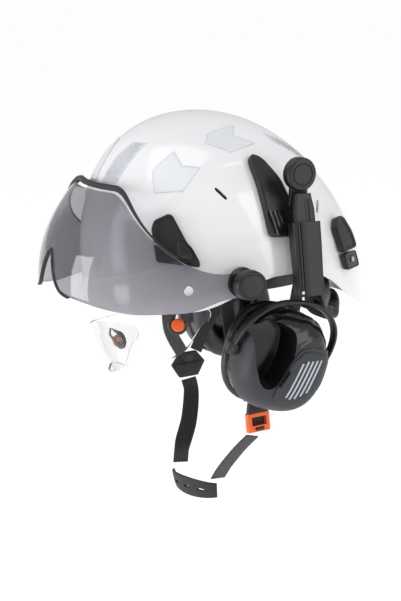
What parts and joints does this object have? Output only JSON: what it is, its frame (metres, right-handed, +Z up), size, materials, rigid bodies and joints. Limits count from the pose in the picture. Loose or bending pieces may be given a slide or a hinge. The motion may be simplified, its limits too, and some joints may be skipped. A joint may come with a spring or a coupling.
{
  "type": "arborist helmet",
  "caption": "White climbing helmet with a tinted visor, a clear eyeshield, swing-down ear muffs and a chin strap.",
  "frame": {"origin": "middle of the head opening, level with the shell's rim over the ears", "axes": "+Z up through the crown, -Y the way the wearer faces, +X the wearer's left"},
  "size_m": [0.2778, 0.3264, 0.3805],
  "materials": {
    "black_gloss": "gloss",
    "black_plastic": "satin",
    "clear_lens": "clear",
    "foam_grey": "matte foam",
    "gloss_white": "gloss",
    "matte_grey": "soft matte",
    "orange_plastic": "satin",
    "pad_fabric": "knit",
    "rubber": "matte",
    "tinted_lens": "clear grey tint",
    "webbing": "woven"
  },
  "bodies": {
    "helmet": {"shell": "gloss_white", "foam_liner": "foam_grey", "crown_pad": "pad_fabric", "headband": "black_plastic", "brow_pad": "pad_fabric", "nape_housing": "black_plastic", "fold_right": "webbing", "buckle_plug": "black_plastic", "buckle_socket": "orange_plastic", "front_clip_left": "black_plastic", "front_tab_left": "black_gloss", "rear_clip_left": "black_plastic", "rear_tab_left": "black_gloss", "visor_pivot_left": "black_plastic", "muff_adapter_left": "black_plastic", "web_front_left": "webbing", "web_rear_left": "webbing", "front_clip_right": "black_plastic", "front_tab_right": "black_gloss", "rear_clip_right": "black_plastic", "rear_tab_right": "black_gloss", "visor_pivot_right": "black_plastic", "muff_adapter_right": "black_plastic", "web_front_right": "webbing", "web_rear_right": "webbing"},
    "visor": {"visor_lens": "tinted_lens", "visor_trim": "rubber", "nose_trim": "rubber"},
    "knob_left": {"visor_knob_left": "black_plastic"},
    "knob_right": {"visor_knob_right": "black_plastic"},
    "shield_arm": {"eyeshield_arm_left": "black_plastic"},
    "shield": {"eyeshield_lens": "clear_lens"},
    "shield_button_left": {"eyeshield_button_left": "orange_plastic"},
    "shield_button_right": {"eyeshield_button_right": "orange_plastic"},
    "shield_hook": {"eyeshield_arm_right": "black_plastic"},
    "hub_left": {"muff_hub_left": "black_plastic"},
    "arm_left": {"muff_arm_left": "black_plastic"},
    "slider_left": {"muff_slider_left": "black_plastic"},
    "yoke_left": {"yoke_left": "black_plastic"},
    "cup_left": {"cup_cover_left": "matte_grey", "cup_body_left": "black_gloss", "cup_foam_left": "foam_grey", "cup_cushion_left": "black_gloss"},
    "hub_right": {"muff_hub_right": "black_plastic"},
    "arm_right": {"muff_arm_right": "black_plastic"},
    "slider_right": {"muff_slider_right": "black_plastic"},
    "yoke_right": {"yoke_right": "black_plastic"},
    "cup_right": {"cup_cover_right": "matte_grey", "cup_body_right": "black_gloss", "cup_foam_right": "foam_grey", "cup_cushion_right": "black_gloss"},
    "dial": {"nape_dial": "black_plastic", "dial_pinion": "black_plastic"},
    "rack_left": {"band_rack_left": "black_plastic"},
    "rack_right": {"band_rack_right": "black_plastic"},
    "chin": {"chin_web_left": "webbing", "chin_web_right": "webbing", "chin_guard": "rubber"},
    "buckle_press": {"buckle_button": "black_gloss"}
  },
  "joints": [
    {"name": "visor_tilt", "type": "hinge", "parent": "helmet", "child": "visor", "pos_m": [0, -0.041, 0.003], "axis": [1, 0, 0], "range_deg": [0, 24]},
    {"name": "knob_turn_left", "type": "hinge", "parent": "helmet", "child": "knob_left", "pos_m": [0.124, -0.041, 0.003], "axis": [1, 0, 0], "range_deg": [0, 90]},
    {"name": "knob_turn_right", "type": "hinge", "parent": "helmet", "child": "knob_right", "pos_m": [-0.124, -0.041, 0.003], "axis": [-1, 0, 0], "range_deg": [0, 90]},
    {"name": "shield_swing", "type": "hinge", "parent": "helmet", "child": "shield_arm", "pos_m": [0.057, -0.068, -0.0175], "axis": [1, 0, 0], "range_deg": [-4, 3]},
    {"name": "shield_level", "type": "hinge", "parent": "shield_arm", "child": "shield", "pos_m": [0.06445, -0.08354, -0.0405], "axis": [-0.0785, 0.9969, 0], "range_deg": [0, 4]},
    {"name": "shield_press_left", "type": "slide", "parent": "shield", "child": "shield_button_left", "axis": [-0.9032, 0.376, -0.2068], "range_m": [0, 0.001], "stiffness_N_per_m": 300},
    {"name": "shield_press_right", "type": "slide", "parent": "shield", "child": "shield_button_right", "axis": [0.7826, 0.5087, 0.359], "range_m": [0, 0.001], "stiffness_N_per_m": 300},
    {"name": "shield_hook_turn", "type": "hinge", "parent": "shield", "child": "shield_hook", "pos_m": [-0.05741, -0.09313, -0.0814], "axis": [-0.7826, -0.5087, -0.359], "range_deg": [-12, 12]},
    {"name": "muff_swing_left", "type": "hinge", "parent": "helmet", "child": "hub_left", "pos_m": [0.099, 0.0245, 0.095], "axis": [1, 0, 0], "range_deg": [-1, 8]},
    {"name": "muff_flip_left", "type": "hinge", "parent": "hub_left", "child": "arm_left", "pos_m": [0.1135, 0.02358, 0.07742], "axis": [0, -0.9986, 0.0523], "range_deg": [0, 14]},
    {"name": "muff_slide_left", "type": "slide", "parent": "arm_left", "child": "slider_left", "axis": [0.1908, -0.0514, -0.9803], "range_m": [0, 0.012]},
    {"name": "yoke_turn_left", "type": "hinge", "parent": "slider_left", "child": "yoke_left", "pos_m": [0.13144, 0.0187, -0.01572], "axis": [1, 0, 0], "range_deg": [0, 5]},
    {"name": "cup_tilt_left", "type": "hinge", "parent": "yoke_left", "child": "cup_left", "pos_m": [0.10644, -0.00285, -0.07492], "axis": [0, 0.9397, -0.342], "range_deg": [-2, 5]},
    {"name": "muff_swing_right", "type": "hinge", "parent": "helmet", "child": "hub_right", "pos_m": [-0.099, 0.0245, 0.095], "axis": [1, 0, 0], "range_deg": [-12, 1]},
    {"name": "muff_flip_right", "type": "hinge", "parent": "hub_right", "child": "arm_right", "pos_m": [-0.1135, 0.02756, 0.07767], "axis": [0, 0.9848, 0.1736], "range_deg": [0, 14]},
    {"name": "muff_slide_right", "type": "slide", "parent": "arm_right", "child": "slider_right", "axis": [-0.1908, 0.1705, -0.9667], "range_m": [-0.008, 0.012]},
    {"name": "yoke_turn_right", "type": "hinge", "parent": "slider_right", "child": "yoke_right", "pos_m": [-0.13144, 0.04375, -0.01419], "axis": [1, 0, 0], "range_deg": [-3, 5]},
    {"name": "cup_tilt_right", "type": "hinge", "parent": "yoke_right", "child": "cup_right", "pos_m": [-0.10644, 0.05469, -0.07623], "axis": [0, 0.9848, 0.1736], "range_deg": [-5, 5]},
    {"name": "dial_turn", "type": "hinge", "parent": "helmet", "child": "dial", "pos_m": [0, 0.117, -0.06], "axis": [0, 1, 0], "range_deg": [-60, 60]},
    {"name": "rack_slide_left", "type": "slide", "parent": "helmet", "child": "rack_left", "axis": [1, 0, 0], "range_m": [-0.0045, 0.0045]},
    {"name": "rack_slide_right", "type": "slide", "parent": "helmet", "child": "rack_right", "axis": [-1, 0, 0], "range_m": [-0.0045, 0.0045]},
    {"name": "chin_swing", "type": "hinge", "parent": "helmet", "child": "chin", "pos_m": [0.0018, -0.01075, -0.148], "axis": [0.9859, -0.0249, -0.1653], "range_deg": [-6, 6]},
    {"name": "buckle_push", "type": "slide", "parent": "helmet", "child": "buckle_press", "axis": [-0.995, 0, -0.0995], "range_m": [0, 0.001], "stiffness_N_per_m": 300}
  ],
  "couplings": [
    {"joint": "rack_slide_left", "follows": "dial_turn", "m_per_rad": 0.0039},
    {"joint": "rack_slide_right", "follows": "dial_turn", "m_per_rad": 0.0039}
  ]
}
